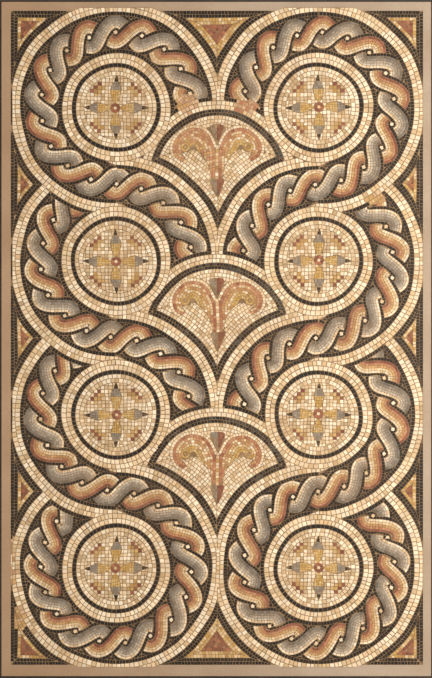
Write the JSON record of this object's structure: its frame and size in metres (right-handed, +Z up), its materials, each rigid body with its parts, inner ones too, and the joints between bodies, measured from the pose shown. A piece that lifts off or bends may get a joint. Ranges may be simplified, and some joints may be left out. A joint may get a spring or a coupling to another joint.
{
  "type": "mosaic panel",
  "caption": "Upright rectangular stone mosaic panel in a mortar slab with a thin steel edge, of medallions ringed by flowing guilloche, made to hang flat on a wall.",
  "frame": {"origin": "centre of the flat back face, where the panel meets the wall", "axes": "+Z up along the long side, +X to the viewer's right, +Y into the wall, so the mosaic faces -Y"},
  "size_m": [1.084, 0.048, 1.696],
  "materials": {
    "mortar": "matte",
    "steel": "satin",
    "limestone": "matte",
    "basalt": "matte",
    "strand_stones": "matte",
    "fan_stones": "matte",
    "ochre_stones": "matte"
  },
  "bodies": {
    "root": {"mortar_bed": "mortar", "edge_bar_top": "steel", "edge_bar_bottom": "steel", "edge_bar_left": "steel", "edge_bar_right": "steel", "medallion_ground_left_1": "limestone", "medallion_ring_left_1": "basalt", "medallion_ground_left_2": "limestone", "medallion_ring_left_2": "basalt", "medallion_ground_left_3": "limestone", "medallion_ring_left_3": "basalt", "medallion_ground_left_4": "limestone", "medallion_ring_left_4": "basalt", "medallion_ground_right_1": "limestone", "medallion_ring_right_1": "basalt", "medallion_ground_right_2": "limestone", "medallion_ring_right_2": "basalt", "medallion_ground_right_3": "limestone", "medallion_ring_right_3": "basalt", "medallion_ground_right_4": "limestone", "medallion_ring_right_4": "basalt", "white_fillets": "limestone", "guilloche_left_1": "strand_stones", "guilloche_left_2": "strand_stones", "guilloche_left_3": "strand_stones", "guilloche_right_1": "strand_stones", "guilloche_right_2": "strand_stones", "guilloche_right_3": "strand_stones", "fan_field_1": "fan_stones", "fan_frame_1": "basalt", "fan_field_2": "fan_stones", "fan_frame_2": "basalt", "fan_field_3": "fan_stones", "fan_frame_3": "basalt", "triangle_surround_left_top": "basalt", "triangle_left_top": "ochre_stones", "triangle_surround_left_side_1": "basalt", "triangle_left_side_1": "ochre_stones", "triangle_surround_left_side_2": "basalt", "triangle_left_side_2": "ochre_stones", "triangle_surround_left_side_3": "basalt", "triangle_left_side_3": "ochre_stones", "triangle_surround_left_bottom": "basalt", "triangle_left_bottom": "ochre_stones", "triangle_surround_right_top": "basalt", "triangle_right_top": "ochre_stones", "triangle_surround_right_side_1": "basalt", "triangle_right_side_1": "ochre_stones", "triangle_surround_right_side_2": "basalt", "triangle_right_side_2": "ochre_stones", "triangle_surround_right_side_3": "basalt", "triangle_right_side_3": "ochre_stones", "triangle_surround_right_bottom": "basalt", "triangle_right_bottom": "ochre_stones", "triangle_surround_middle_top": "basalt", "triangle_middle_top": "ochre_stones", "triangle_surround_middle_bottom": "basalt", "triangle_middle_bottom": "ochre_stones"}
  },
  "joints": []
}
